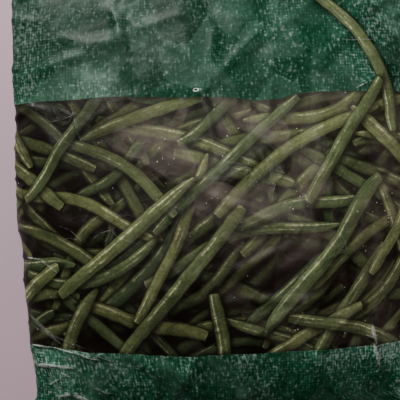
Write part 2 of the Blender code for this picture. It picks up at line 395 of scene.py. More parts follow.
# Sharp folds, as (p, q) of both ends, height, half width and how strong the painted highlight along them
# is; the film is partly stress-whitened there too.
FOLDS = [
    ((0.0760, 0.0765), (0.0960, 0.0770), 0.0003, 0.00030, 0.22),
    ((0.0799, 0.0486), (0.0875, 0.0522), 0.0006, 0.00030, 0.85),
    ((-0.1185, -0.0905), (-0.1020, -0.0915), 0.0009, 0.00045, 0.80),
    ((-0.1030, -0.0912), (-0.0880, -0.0945), 0.0009, 0.00055, 0.75),
    ((-0.0885, -0.0940), (-0.0730, -0.0985), 0.0008, 0.00045, 0.60),
    ((-0.0790, -0.0940), (-0.0640, -0.1000), 0.0006, 0.00025, 0.45),
    ((-0.1174, -0.1028), (-0.1020, -0.1018), 0.0011, 0.00130, 0.80),
    ((-0.1050, -0.1022), (-0.0915, -0.1036), 0.0009, 0.00080, 0.70),
    ((-0.1010, -0.1060), (-0.0955, -0.1095), 0.0007, 0.00060, 0.65),
    ((-0.1109, -0.1145), (-0.1030, -0.1100), 0.0007, 0.00060, 0.60),
    ((-0.1060, -0.1215), (-0.0960, -0.1195), 0.0008, 0.00080, 0.70),
    ((-0.0960, -0.1200), (-0.0830, -0.1240), 0.0008, 0.00110, 0.65),
    ((-0.0820, -0.1150), (-0.0690, -0.1190), 0.0005, 0.00060, 0.40),
    ((-0.1155, -0.0400), (-0.1050, -0.0410), 0.0008, 0.00050, 0.55),
    ((-0.1060, -0.0405), (-0.0930, -0.0490), 0.0006, 0.00030, 0.40),
    ((-0.1190, -0.0730), (-0.0960, -0.0900), 0.0005, 0.00140, 0.12),
    ((-0.1190, -0.0790), (-0.0800, -0.0920), 0.0003, 0.00070, 0.08),
    ((0.0885, -0.0840), (0.0920, -0.0960), 0.0010, 0.00130, 0.55),
    ((0.0900, -0.0950), (0.0940, -0.1090), 0.0010, 0.00120, 0.55),
    ((0.0850, -0.0900), (0.0920, -0.0920), 0.0006, 0.00050, 0.35),
]
# Stars of short fine folds: how many, where, how far they reach, how wide and how strong the painted
# highlight along them is.
FOLD_STARS = 9
STAR_Q = (-0.088, 0.042)
STAR_REACH = (0.003, 0.011)
STAR_BREADTH = (0.00016, 0.00034)
STAR_SHINE = (0.03, 0.17)
CREASE_LEAST_BREADTH = 0.0009


def fold_marks(draw):
    """The listed folds, and stars of short fine ones where the film was pinched."""
    marks = list(FOLDS)
    for _ in range(FOLD_STARS):
        centre = Vector((draw.uniform(-0.44, 0.42) * BAG_WIDTH, draw.uniform(*STAR_Q)))
        turn = draw.uniform(0, math.pi)
        for _ in range(draw.randint(2, 5)):
            turn += draw.uniform(0.5, 1.5)
            reach = Vector((math.cos(turn), math.sin(turn))) * draw.uniform(*STAR_REACH)
            bend = Vector((draw.uniform(-1, 1), draw.uniform(-1, 1))) * 0.003
            breadth, fold_shine = draw.uniform(*STAR_BREADTH), draw.uniform(*STAR_SHINE)
            knee, tip = centre + reach, centre + 1.8 * reach + bend
            marks.append((tuple(centre), tuple(knee), 0.0005, breadth, fold_shine))
            marks.append((tuple(knee), tuple(tip), 0.0003, breadth, fold_shine * 0.6))
    return marks


# Seeds of the film's relief and of the points of its mesh.
RELIEF_SEED = 23
MESH_SEED = 7

# The fine ripple is a sum of this many waves, with rates between these per metre.
RIPPLE_WAVES = 26
RIPPLE_RATES = (150, 900)

# Places in a ring before it is read at even steps.
RING_PLACES = 241

# Over what length the relief comes up: from the end seals, for their puckers, in from the side folds
# for the pressed beans, and how far round the back it takes to lie flat.
RELIEF_EASE = 0.012
PUCKER_EASE = 0.006
PRESSED_EASE = 0.010
FLAT_BACK_EASE = 0.022

# The dip for the fin goes this far past it and comes up over this length.
FIN_DIP_PAST = 0.006
FIN_DIP_EASE = 0.004

# The ends' wave reaches this far into the back, and this much further into the front. The change
# starts this far past the side folds and is spread over this length.
WAVE_INTO_BACK = 0.009
WAVE_FURTHER_ON_FRONT = 0.015
WAVE_PAST_FOLD = 0.004
WAVE_EASE = 0.020


class FilledFilm:
    """Where each place on the flat film lies on the filled bag."""

    def __init__(self, settings):
        rows = int(round(BAG_LENGTH / TABLE_STEP)) + 1
        columns = 2 * int(round(BAG_WIDTH / TABLE_STEP)) + 1
        self.q = np.linspace(-HALF_LENGTH, HALF_LENGTH, rows)
        self.p = np.linspace(-BAG_WIDTH, BAG_WIDTH, columns)
        self.table = np.array([self.ring(y) for y in self.q])
        around = np.gradient(self.table, axis=1)
        around[:, 0] = around[:, -1] = self.table[:, 1] - self.table[:, -2]
        normal = np.cross(around, np.gradient(self.table, axis=0))
        self.normal = normal / np.linalg.norm(normal, axis=2, keepdims=True)
        draw = random.Random(RELIEF_SEED)
        self.soft = pressed_ridges(settings, draw)
        self.ends = seal_puckers(settings, draw)
        self.sides = side_pleats(settings, draw)
        self.creases = Ridges()
        for start, end, height, breadth, sharp in DENTS:
            self.creases.add(start, end, height, breadth, sharp)
        self.folds = fold_marks(draw)
        for start, end, height, breadth, _ in self.folds:
            self.creases.add(start, end, height, max(2 * breadth, CREASE_LEAST_BREADTH), True)
        self.waves = [
            (draw.uniform(*RIPPLE_RATES), draw.uniform(0, math.pi), draw.uniform(0, 6.3))
            for _ in range(RIPPLE_WAVES)
        ]

    def ring(self, y):
        """The film's ring at y, read at even steps of its own length on the front and on the back."""
        s = np.sin(np.linspace(-np.pi / 2, np.pi / 2, RING_PLACES))
        x, front, back = film_heights(s, y)
        places = np.empty((len(self.p), 3))
        places[:, 1] = y
        for line_x, line_z, picked, start in (
            (x, front, np.abs(self.p) <= HALF_WIDTH, -HALF_WIDTH),
            (x[::-1], back[::-1], self.p > HALF_WIDTH, HALF_WIDTH),
            (x[::-1], back[::-1], self.p < -HALF_WIDTH, HALF_WIDTH - 2 * BAG_WIDTH),
        ):
            length = np.concatenate(([0.0], np.cumsum(np.hypot(np.diff(line_x), np.diff(line_z)))))
            share = (self.p[picked] - start) / BAG_WIDTH
            places[picked, 0] = np.interp(share * length[-1], length, line_x)
            places[picked, 2] = np.interp(share * length[-1], length, line_z)
        return places

    def read(self, table, p, q):
        """A table's value at the places (p, q), between its rows and columns."""
        column = np.clip((p - self.p[0]) / (self.p[1] - self.p[0]), 0, len(self.p) - 1.000001)
        row = np.clip((q - self.q[0]) / (self.q[1] - self.q[0]), 0, len(self.q) - 1.000001)
        i, j = row.astype(int), column.astype(int)
        u, v = (row - i)[:, None], (column - j)[:, None]
        low = table[i, j] * (1 - v) + table[i, j + 1] * v
        high = table[i + 1, j] * (1 - v) + table[i + 1, j + 1] * v
        return low * (1 - u) + high * u

    def round_from_x(self, x, y):
        """How far round the tube the front of the plain filled shape reaches x, at y."""
        front = np.abs(self.p) <= HALF_WIDTH
        row = self.table[np.abs(self.q - y).argmin(), front, 0]
        return float(np.interp(x, row, self.p[front]))

    def relief(self, p, q):
        """Outward rise of the film over the plain filled shape."""
        from_end = BODY_TOP - np.abs(q)
        from_fold = np.abs(p) - HALF_WIDTH
        body = smooth(from_end / RELIEF_EASE)
        flat_back = smooth(from_fold / FLAT_BACK_EASE)
        ripple = sum(
            np.sin(rate * (p * math.cos(turn) + q * math.sin(turn)) + shift) / rate
            for rate, turn, shift in self.waves
        )
        rise = self.soft.rise(p, q) * smooth(-from_fold / PRESSED_EASE) + RIPPLE_HEIGHT * ripple
        rise += self.sides.rise(p, q) + self.creases.rise(p, q)
        rise = rise * body + self.ends.rise(p, q) * smooth(from_end / PUCKER_EASE)
        seam = BAG_WIDTH - np.abs(p)
        fin = smooth((FIN_WIDTH + FIN_DIP_PAST - seam) / FIN_DIP_EASE)
        return rise * (1 - flat_back) - FIN_DIP * fin * body

    def places(self, p, q):
        """Points of the film in the row frame. The ends' wave dies out sooner on the flat back."""
        on_front = smooth((HALF_WIDTH + WAVE_PAST_FOLD - np.abs(p)) / WAVE_EASE)
        reach = WAVE_INTO_BACK + WAVE_FURTHER_ON_FRONT * on_front
        end = smooth(1 - (BODY_TOP - np.abs(q)) / reach)
        points = self.read(self.table, p, q) + self.read(self.normal, p, q) * self.relief(p, q)[:, None]
        x = points[:, 0]
        wave = 0.5 * np.sin(210 * x + 0.6 * np.sign(q)) + 0.35 * np.sin(463 * x + 2 * np.sign(q))
        points[:, 2] += END_WAVE * end * wave
        return points

    def normals(self, p, q):
        """Outward unit normals of the film, creases included."""
        step = NORMAL_STEP
        across = self.places(p + step, q) - self.places(p - step, q)
        along = self.places(p, q + step) - self.places(p, q - step)
        normal = np.cross(across, along)
        return normal / np.maximum(np.linalg.norm(normal, axis=1, keepdims=True), 1e-12)


# Borders of the printed picture on the flat film: how far round it goes, and places on both borders.
PICTURE_REACH = 0.150
PICTURE_TOP = [(-0.150, 0.0480), (-0.117, 0.0485), (-0.060, 0.0480), (-0.012, 0.0458), (0.010, 0.0445)]
PICTURE_TOP += [(0.025, 0.0430), (0.035, 0.0434), (0.046, 0.0460), (0.056, 0.0470), (0.150, 0.0460)]
PICTURE_BOTTOM = [(-0.150, -0.0890), (-0.115, -0.0911), (-0.073, -0.0939), (-0.020, -0.0971)]
PICTURE_BOTTOM += [(0.033, -0.0970), (0.090, -0.0965), (0.150, -0.0940)]
PICTURE_SEED = 41
BORDER_WAVE = 0.0002

# The vents: (x, y, half length, half height, whether the film round it is pale: stretched, with a painted
# highlight on its raised lip).
VENTS = [(-0.0103, 0.0495, 0.00085, 0.00050, True), (-0.0049, -0.0914, 0.00060, 0.00055, False)]
VENT_LIP = 2.1

# Beans of the picture that lie over the header's border, as (p, q, heading, length, bend).
OVER_HEADER = [
    (0.0858, 0.0713, math.radians(-62), 0.102, -0.85),
    (0.0720, 0.0200, math.radians(56), 0.082, 0.10),
]

# The pale blank panel on the back, as the lowest and highest p and q.
PANEL = (0.140, 0.216, -0.060, 0.070)

# How the picture's beans lie: the share of beans up to which a heading holds, the heading and its spread.
BEAN_HEADINGS = [(0.46, math.radians(38), math.radians(18)), (0.84, math.radians(-33), math.radians(19))]
BEAN_LENGTH = (0.064, 0.118)
BEAN_RADIUS_SPREAD = (0.84, 1.14)
POINTED_SHARE = 0.55
BEAN_BEND = math.radians(27)
BEAN_SWAY = math.radians(11)
PICTURE_Q = (-0.104, 0.054)
PLACES_TRIED = 7
PLACES_KEPT_CLEAR = 26


def border(places, p):
    """Height of a printed border at p, eased from place to place."""
    at, height = (np.array(row) for row in zip(*places))
    k = np.clip(np.searchsorted(at, p) - 1, 0, len(at) - 2)
    share = smooth((p - at[k]) / (at[k + 1] - at[k]))
    return height[k] * (1 - share) + height[k + 1] * share


def picture_top(p):
    """The header's lower border: a cut cloth edge with a slow wave."""
    return border(PICTURE_TOP, p) + BORDER_WAVE * np.sin(171 * p)


def picture_bottom(p):
    """The footer's upper border."""
    return border(PICTURE_BOTTOM, p) + BORDER_WAVE * np.sin(143 * p + 2.0)


class PrintedBean:
    """One bean of the picture: its bent middle line and half widths on the flat film."""

    SEGMENTS = 24

    def __init__(self, centre, heading, length, radius, bend, sway, pointed, depth, tone, lumps):
        share = np.linspace(0, 1, self.SEGMENTS + 1)
        turn = heading + bend * (share - 0.5) + sway * np.sin(2 * np.pi * share)
        step = length / self.SEGMENTS
        middle = (turn[1:] + turn[:-1]) / 2
        line = np.zeros((self.SEGMENTS + 1, 2))
        line[1:, 0] = np.cumsum(np.cos(middle)) * step
        line[1:, 1] = np.cumsum(np.sin(middle)) * step
        self.line = line - line.mean(0) + np.array(centre)
        self.turn = turn
        self.along = share * length
        self.depth, self.tone = depth, tone
        swell = 0.92 + 0.10 * np.sin(np.pi * share) + 0.04 * np.sin(lumps + share * length * 480)
        swell *= 1 - 0.22 * np.maximum(1 - share * length / 0.010, 0.0) ** 1.5
        end = 0.30 if pointed else 0.68
        from_tip = np.maximum(1 - (1 - share) * length / (0.017 if pointed else 0.009), 0.0)
        self.radius = radius * swell * (1 - (1 - end) * from_tip**1.9)

    def outline(self):
        """The bean's outline, counterclockwise, with its cut ends a little rounded."""
        side = np.stack((-np.sin(self.turn), np.cos(self.turn)), axis=1) * self.radius[:, None]
        ahead = np.array((math.cos(self.turn[-1]), math.sin(self.turn[-1]))) * self.radius[-1] * 0.35
        behind = np.array((math.cos(self.turn[0]), math.sin(self.turn[0]))) * self.radius[0] * 0.18
        right, left = self.line - side, self.line + side
        tip = [right[-1] * 0.3 + left[-1] * 0.7 + ahead]
        stem = [right[0] * 0.6 + left[0] * 0.4 - behind]
        return [*right, *tip, *left[::-1], *stem]

    def read(self, places):
        """How far along the bean and across it the places are, and its half width and heading there."""
        starts, steps = self.line[:-1], np.diff(self.line, axis=0)
        lengths = np.linalg.norm(steps, axis=1)
        apart = places[:, None, :] - starts[None]
        share = np.clip((apart * steps).sum(2) / lengths**2, 0, 1)
        gap = apart - share[..., None] * steps
        squared = (gap * gap).sum(2)
        best = squared.argmin(1)
        rows = np.arange(len(places))
        unit = steps[best] / lengths[best, None]
        offset, share = gap[rows, best], share[rows, best]
        side = np.sign(unit[:, 0] * offset[:, 1] - unit[:, 1] * offset[:, 0])
        across = np.sqrt(squared[rows, best]) * side
        along = self.along[best] + share * lengths[best]
        radius = self.radius[best] * (1 - share) + self.radius[best + 1] * share
        turn = self.turn[best] * (1 - share) + self.turn[best + 1] * share
        return along, across, radius, turn


def picture_beans(settings):
    """The picture's beans, the deepest first, and how many of the last lie over the header."""
    draw = random.Random(PICTURE_SEED)
    beans = []
    taken = []
    count = settings.beans
    for index in range(count):
        depth = (1 - index / (count - 1)) ** 0.80
        best, room = None, -1.0
        for _ in range(PLACES_TRIED):
            centre = (draw.uniform(-1.02, 1.02) * PICTURE_REACH, draw.uniform(*PICTURE_Q))
            near = min((math.dist(centre, other) for other in taken[-PLACES_KEPT_CLEAR:]), default=1.0)
            if near > room:
                best, room = centre, near
        taken.append(best)
        kind = draw.random()
        main = next(((middle, spread) for most, middle, spread in BEAN_HEADINGS if kind < most), None)
        heading = draw.gauss(*main) if main else draw.uniform(0, math.pi)
        if draw.random() < 0.5:
            heading += math.pi
        radius = settings.bean_radius * draw.uniform(*BEAN_RADIUS_SPREAD) * (1.06 - 0.04 * depth)
        length = draw.uniform(*BEAN_LENGTH)
        bend = draw.gauss(0, BEAN_BEND)
        sway = draw.gauss(0, BEAN_SWAY)
        tone = draw.random()
        pointed = draw.random() < POINTED_SHARE
        swell = draw.uniform(0, 6)
        beans.append(PrintedBean(best, heading, length, radius, bend, sway, pointed, depth, tone, swell))
    for p, q, heading, length, bend in OVER_HEADER:
        radius = settings.bean_radius
        beans.append(PrintedBean((p, q), heading, length, radius, bend, 0.06, False, 0.10, 0.3, 1.0))
    return beans, len(OVER_HEADER)


def oval(p, q, half_long, half_high, count=16):
    """Points of an oval."""
    turns = [2 * math.pi * k / count for k in range(count)]
    return [(p + half_long * math.cos(a), q + half_high * math.sin(a)) for a in turns]


def sliver(start, end, breadth):
    """Outline of a fine fold that thins out to both ends."""
    start, end = Vector(start), Vector(end)
    run = end - start
    side = Vector((-run.y, run.x)).normalized() * breadth
    shares = [(0.12, 0.6), (0.35, 1.0), (0.65, 0.8), (0.88, 0.4)]
    right = [start + run * along - side * wide for along, wide in shares]
    left = [start + run * along + side * wide for along, wide in reversed(shares)]
    return [start, *right, end, *left]


# The close mesh of the front goes this far past the side folds, and its points are moved by this share
# of a step. Points closer than this are one.
FRONT_PAST_FOLD = 0.008
GRID_SHIFT = 0.12
POINT_APART = 3e-6


class FilmPlan:
    """The flat film cut into triangles along the outlines of everything that is printed on it."""

    def __init__(self, film, beans, over, vents, folds):
        self.film, self.beans, self.over, self.vents, self.folds = film, beans, over, vents, folds
        self.points, self.faces = [], []
        self.sheet = self.area(self.sheet_outline())
        self.picture = self.area(self.picture_outline())
        self.panel = self.area(self.panel_outline())
        self.first_bean = len(self.faces)
        for bean in beans:
            self.area(bean.outline())
        pale_vents = [vent for vent in vents if vent[4]]
        self.lips = [self.area(oval(p, q, a * VENT_LIP, b * VENT_LIP)) for p, q, a, b, _ in pale_vents]
        self.holes = [self.area(oval(p, q, a, b)) for p, q, a, b, _ in vents]
        self.first_fold = len(self.faces)
        for start, end, _, breadth, _ in folds:
            self.area(sliver(start, end, breadth))
        self.grid()

    def area(self, outline):
        """Adds an outline and returns its number."""
        first = len(self.points)
        self.points.extend(Vector(place) for place in outline)
        self.faces.append(list(range(first, len(self.points))))
        return len(self.faces) - 1

    def sheet_outline(self):
        """The flat tube, with a zigzag cut across both ends."""
        settings = self.film
        steps = 4 * int(round(BAG_WIDTH / settings.tooth_pitch))
        rim = [-BAG_WIDTH + 2 * BAG_WIDTH * k / steps for k in range(steps + 1)]
        low = [(p, -HALF_LENGTH + (k % 2) * settings.tooth_depth) for k, p in enumerate(rim)]
        high = [(p, HALF_LENGTH - (k % 2) * settings.tooth_depth) for k, p in enumerate(rim)]
        side = self.seam_steps()
        right = [(BAG_WIDTH, q) for q in side]
        left = [(-BAG_WIDTH, q) for q in reversed(side)]
        return low + right + high[::-1] + left

    def seam_steps(self):
        """Even steps along the tube's back seal, without its ends."""
        count = int(round(BAG_LENGTH / self.film.back_step))
        return [-HALF_LENGTH + BAG_LENGTH * k / count for k in range(1, count)]

    def picture_outline(self):
        """The printed picture's borders."""
        steps = np.linspace(-PICTURE_REACH, PICTURE_REACH, 121)
        low = list(zip(steps, picture_bottom(steps)))
        high = list(zip(steps, picture_top(steps)))
        return low + high[::-1]

    def panel_outline(self):
        """The blank panel on the back."""
        left, right, low, high = PANEL
        return [(left, low), (right, low), (right, high), (left, high)]

    def grid(self):
        """Points inside the outlines: close together on the front and wider apart on the back."""
        draw = random.Random(MESH_SEED)
        settings = self.film
        front = HALF_WIDTH + FRONT_PAST_FOLD
        top = HALF_LENGTH - settings.tooth_depth - 0.0004
        step = settings.front_step
        shift = step * GRID_SHIFT
        for p in np.arange(-front, front, step):
            for q in np.arange(-top, top, step):
                moved = (p + draw.uniform(-shift, shift), q + draw.uniform(-shift, shift))
                self.points.append(Vector(moved))
        step = settings.back_step
        for p in np.arange(front + step, BAG_WIDTH - 0.4 * step, step):
            for q in np.arange(-top, top, step):
                self.points.append(Vector((p, q)))
                self.points.append(Vector((-p, q)))

    def cut(self):
        """Triangles of the film, and for each the number of the topmost area that holds it."""
        cut = delaunay_2d_cdt(self.points, [], self.faces, 0, POINT_APART, True)
        points, _, faces, _, _, origins = cut
        last_bean = self.first_bean + len(self.beans)
        over_from = last_bean - self.over
        kept, owners, fold_shines = [], [], []
        for face, held in zip(faces, origins):
            held = set(held)
            if self.sheet not in held or held.intersection(self.holes):
                continue
            owner = self.sheet
            if held.intersection(self.lips):
                owner = self.lips[0]
            elif self.panel in held:
                owner = self.panel
            else:
                first = self.first_bean if self.picture in held else over_from
                nearest = max((k for k in held if first <= k < last_bean), default=None)
                if nearest is not None:
                    owner = nearest
                elif self.picture in held:
                    owner = self.picture
            kept.append(face)
            owners.append(owner)
            # The painted highlight of the strongest fold over the triangle.
            marks = [self.folds[k - self.first_fold][4] for k in held if k >= self.first_fold]
            fold_shines.append(max(marks, default=0.0))
        flat = np.array([tuple(point) for point in points])
        return flat, np.array(kept), np.array(owners), np.array(fold_shines)


# The printed light, and how far the shadows of the beans and of the picture's borders reach.
PRINT_LIGHT = (-0.54, 0.62, 0.57)
SHADOW_REACH = 0.0034
SHADOW_SHIFT = 0.0011
HEADER_SHADOW_REACH = 0.0030
FOOTER_SHADOW_REACH = 0.0022
FOOTER_SHADOW = 0.8


def picture_marks(plan, places, faces, owners):
    """What the picture's inks need at every corner: bean place, bean lie and shadow."""
    corners = faces.reshape(-1)
    holder = np.repeat(owners, 3) - plan.first_bean
    in_picture = (np.repeat(owners, 3) == plan.picture) | (holder >= 0)
    bean = np.zeros((len(corners), 3))
    lie = np.zeros((len(corners), 3))
    shadow = np.zeros(len(corners))
    light = np.array(PRINT_LIGHT[:2]) / math.hypot(*PRINT_LIGHT[:2])
    over_from = len(plan.beans) - plan.over
    for number, item in enumerate(plan.beans):
        reach = item.radius.max() + SHADOW_REACH + SHADOW_SHIFT
        low, high = item.line.min(0) - reach, item.line.max(0) + reach
        near = np.flatnonzero(((places > low) & (places < high)).all(1))
        if not len(near):
            continue
        along, across, radius, turn = item.read(places[near])
        slot = np.full(len(places), -1)
        slot[near] = np.arange(len(near))
        at = slot[corners]
        own = np.flatnonzero((holder == number) & (at >= 0))
        rows = at[own]
        bean[own, 0] = along[rows]
        bean[own, 1] = np.clip(across[rows] / radius[rows], -1, 1)
        bean[own, 2] = item.tone
        lie[own, 0], lie[own, 1] = np.cos(turn[rows]), np.sin(turn[rows])
        lie[own, 2] = item.depth
        facing = -np.sin(turn) * light[0] + np.cos(turn) * light[1]
        gap = np.abs(across) - radius + SHADOW_SHIFT * np.sign(across) * facing
        cast = 1 - smooth((gap + 0.0004) / SHADOW_REACH)
        below = np.flatnonzero((at >= 0) & (holder < number) & (in_picture | (number >= over_from)))
        shadow[below] = np.maximum(shadow[below], cast[at[below]])
    p, q = places[:, 0], places[:, 1]
    header = 1 - smooth((picture_top(p) - q - 0.0002) / HEADER_SHADOW_REACH)
    footer = 1 - smooth((q - picture_bottom(p) - 0.0001) / FOOTER_SHADOW_REACH)
    edge = np.maximum(header, FOOTER_SHADOW * footer)[corners]
    under = in_picture & (holder < over_from)
    shadow[under] = np.maximum(shadow[under], edge[under])
    return bean, lie, shadow


WELD_APART = 1e-5


def weld(flat, faces, edge):
    """Joins the back to the front at both ends and to itself at the seam, by places on the flat film."""
    folded = np.abs(flat)
    folded[:, 0] = np.where(folded[:, 0] > HALF_WIDTH, BAG_WIDTH - folded[:, 0], folded[:, 0])
    folded *= np.sign(flat)
    first = {}
    new = np.arange(len(flat))
    for index in np.flatnonzero(edge):
        key = tuple(np.round(folded[index] / WELD_APART).astype(int))
        new[index] = first.setdefault(key, index)
    return new[faces]


def open_faces(faces):
    """True for each face that joining hasn't shut to a line or laid flat on another."""
    _, which, times = np.unique(np.sort(faces, axis=1), axis=0, return_inverse=True, return_counts=True)
    return (faces != np.roll(faces, 1, axis=1)).all(axis=1) & (times[which.reshape(-1)] == 1)


def corner_attribute(mesh, name, kind, values):
    """Stores one value for each face corner."""
    made = mesh.attributes.new(name, kind, "CORNER")
    key = "vector" if kind == "FLOAT_VECTOR" else "value"
    made.data.foreach_set(key, np.ascontiguousarray(values, np.float32).reshape(-1))


# How far the film stands up round a pale vent, and round a plain one.
PALE_LIP_HEIGHT = 0.00045
PLAIN_LIP_HEIGHT = 0.0002


def film_mesh(plan, shape, materials):
    """The filled film as one mesh, with what its inks need stored on it."""
    flat, faces, owners, fold_shines = plan.cut()
    p, q = flat[:, 0], flat[:, 1]
    points = shape.places(p, q)
    normals = shape.normals(p, q)
    at_end = np.abs(q) > HALF_LENGTH - plan.film.tooth_depth - 0.0001
    at_seam = np.abs(p) > BAG_WIDTH - 1e-6
    points[at_end, 2] = (points[at_end] - normals[at_end] * SHEET_GAP / 2)[:, 2]
    lip = np.zeros(len(p))
    for vent_p, vent_q, half_long, half_high, pale in plan.vents:
        out = np.hypot((p - vent_p) / half_long, (q - vent_q) / half_high)
        lip_height = PALE_LIP_HEIGHT if pale else PLAIN_LIP_HEIGHT
        lip += lip_height * np.exp(-(((out - 1.2) / 0.55) ** 2))
    points += normals * lip[:, None]
    joined = weld(flat, faces, at_end | at_seam)
    whole = open_faces(joined)
    faces, joined, owners, fold_shines = faces[whole], joined[whole], owners[whole], fold_shines[whole]
    bean, lie, shadow = picture_marks(plan, flat, faces, owners)
    used = np.unique(joined)
    renumber = np.zeros(len(points), int)
    renumber[used] = np.arange(len(used))
    mesh = bpy.data.meshes.new("printed_film")
    mesh.from_pydata(points[used].tolist(), [], renumber[joined].tolist())
    corner_attribute(mesh, "flat_film", "FLOAT_VECTOR", np.c_[flat, np.zeros(len(flat))][faces.reshape(-1)])
    corner_attribute(mesh, "bean", "FLOAT_VECTOR", bean)
    corner_attribute(mesh, "bean_lie", "FLOAT_VECTOR", lie)
    corner_attribute(mesh, "bean_shadow", "FLOAT", shadow)
    # How strong the painted highlight of a fold is at each corner.
    corner_attribute(mesh, "fold", "FLOAT", np.repeat(fold_shines, 3))
    kinds = {plan.sheet: 0, plan.picture: 1, plan.panel: 2, **{lip: 3 for lip in plan.lips}}
    slots = [kinds.get(owner, 1) for owner in owners]
    for material in materials:
        mesh.materials.append(material)
    mesh.polygons.foreach_set("material_index", slots)
    mesh.shade_smooth()
    mesh.normals_split_custom_set(normals[faces.reshape(-1)].tolist())
    mesh.update()
    return mesh


class Ink:
    """A shader value that is added, scaled and divided as a number is."""

    def __init__(self, inks, socket):
        self.inks, self.socket = inks, socket

    def __add__(self, other):
        return self.inks.math("ADD", self, other)

    def __sub__(self, other):
        return self.inks.math("SUBTRACT", self, other)

    def __rsub__(self, other):
        return self.inks.math("SUBTRACT", other, self)

    def __mul__(self, other):
        return self.inks.math("MULTIPLY", self, other)

    def __truediv__(self, other):
        return self.inks.math("DIVIDE", self, other)

    def __pow__(self, other):
        return self.inks.math("POWER", self, other)

    def __abs__(self):
        return self.inks.math("ABSOLUTE", self)

    def held(self):
        """The value kept between 0 and 1."""
        return self.inks.math("ADD", self, 0.0, clamp=True)


class Colour(Ink):
    """A shader colour, which a factor scales as a whole."""

    def __mul__(self, factor):
        node = self.inks.node("ShaderNodeVectorMath", {0: self, "Scale": factor}, operation="SCALE")
        return Colour(self.inks, node.outputs[0])


class Inks:
    """One material, and short calls for the shader nodes that it is made of."""

    def __init__(self, name):
        self.material = bpy.data.materials.new(name)
        self.material.use_nodes = True
        self.tree = self.material.node_tree
        self.shader = self.tree.nodes["Principled BSDF"]

    def feed(self, value, socket):
        """Links a socket, or sets a plain value."""
        if isinstance(value, Ink):
            self.tree.links.new(value.socket, socket)
        elif socket.type == "RGBA":
            socket.default_value = (*value, 1.0)
        else:
            socket.default_value = value

    def node(self, kind, given, **ways):
        """A new node with its ways set and the given values fed to its inputs."""
        node = self.tree.nodes.new(kind)
        for name, way in ways.items():
            setattr(node, name, way)
        for place, value in given.items():
            self.feed(value, node.inputs[place])
        return node

    def ink(self, kind, given, output=0, **ways):
        """One output of a new node."""
        return Ink(self, self.node(kind, given, **ways).outputs[output])

    def math(self, operation, *values, clamp=False):
        """One math node on the given values."""
        return self.ink("ShaderNodeMath", dict(enumerate(values)), operation=operation, use_clamp=clamp)

    def step(self, value, low, high, out_low=0.0, out_high=1.0):
        """A soft step from low to high."""
        given = {"Value": value, "From Min": low, "From Max": high, "To Min": out_low, "To Max": out_high}
        return self.ink("ShaderNodeMapRange", given, interpolation_type="SMOOTHSTEP")

    def mix(self, factor, first, second, blend="MIX"):
        """A colour between two, or their blend."""
        given = {0: factor, 6: first, 7: second}
        node = self.node("ShaderNodeMix", given, data_type="RGBA", blend_type=blend)
        return Colour(self, node.outputs[2])

    def attribute(self, name, output="Vector"):
        """What the mesh stores under a name."""
        return self.ink("ShaderNodeAttribute", {}, output, attribute_name=name)

    def object_place(self):
        """The place in the piece's own frame."""
        return self.ink("ShaderNodeTexCoord", {}, "Object")

    def split(self, vector):
        """The three parts of a vector."""
        return [Ink(self, output) for output in self.node("ShaderNodeSeparateXYZ", {0: vector}).outputs]

    def join(self, *values):
        """A vector of three values."""
        return self.ink("ShaderNodeCombineXYZ", dict(enumerate(values)))

    def noise(self, vector, scale, detail=2.0, roughness=0.5):
        """Smooth noise about 0.5."""
        given = {"Vector": vector, "Scale": scale, "Detail": detail, "Roughness": roughness}
        return self.ink("ShaderNodeTexNoise", given)

    def cells(self, vector, scale):
        """Random cells: how far their middles are, and three random values for each."""
        outputs = self.node("ShaderNodeTexVoronoi", {"Vector": vector, "Scale": scale}).outputs
        return Ink(self, outputs["Distance"]), self.split(Ink(self, outputs["Color"]))

    def bump(self, height, distance, strength=1.0):
        """A normal that follows a height."""
        given = {"Height": height, "Distance": distance, "Strength": strength}
        return self.ink("ShaderNodeBump", given)


# Colours of the painted highlights along folds, of sparse pale dots, of the painted reflections of the
# light on the film, and of two places on a bean.
FOLD_SHINE = srgb(205, 208, 206)
PALE_DOT = srgb(200, 198, 184)
CLOTH_SHEEN = srgb(128, 156, 142)
PICTURE_SHEEN = srgb(158, 142, 132)
FACET_SHEEN = srgb(158, 142, 140)
EVEN_SHEEN = srgb(150, 150, 128)
BEAN_SHINE = srgb(224, 222, 176)
STEM_CUT = srgb(140, 148, 100)

# From thread to thread of the woven-look print.
THREAD_PITCH = 0.0017


def film_finish(inks, flat, colour, gloss=0.17, ior=1.27):
    """Paints highlights along the folds, where the film is also partly stress-whitened, and gives every ink
    the gloss it is given and the same fine crackle of thin frozen film.
    """
    shader = inks.shader
    grain = inks.step(inks.noise(flat, 700.0, 2.0, 0.6), 0.30, 0.56)
    # Painted highlights along the folds, with some stress-whitening.
    colour = inks.mix(inks.attribute("fold", "Fac") * grain, colour, FOLD_SHINE)
    inks.feed(colour, shader.inputs["Base Color"])
    shader.inputs["Roughness"].default_value = 0.45
    shader.inputs["IOR"].default_value = ior
    shader.inputs["Coat Weight"].default_value = gloss
    shader.inputs["Coat Roughness"].default_value = 0.24
    shader.inputs["Coat IOR"].default_value = 1.5
    coarse = inks.noise(flat, 85.0, 3.0, 0.55)
    fine = inks.noise(flat, 380.0, 2.0, 0.5)
    folds = inks.step(abs(inks.noise(flat, 48.0, 2.0, 0.5) - 0.5), 0.035, 0.0)
    inks.feed(inks.bump(coarse + fine * 0.14 + folds * 0.12, 0.0011, 0.50), shader.inputs["Normal"])


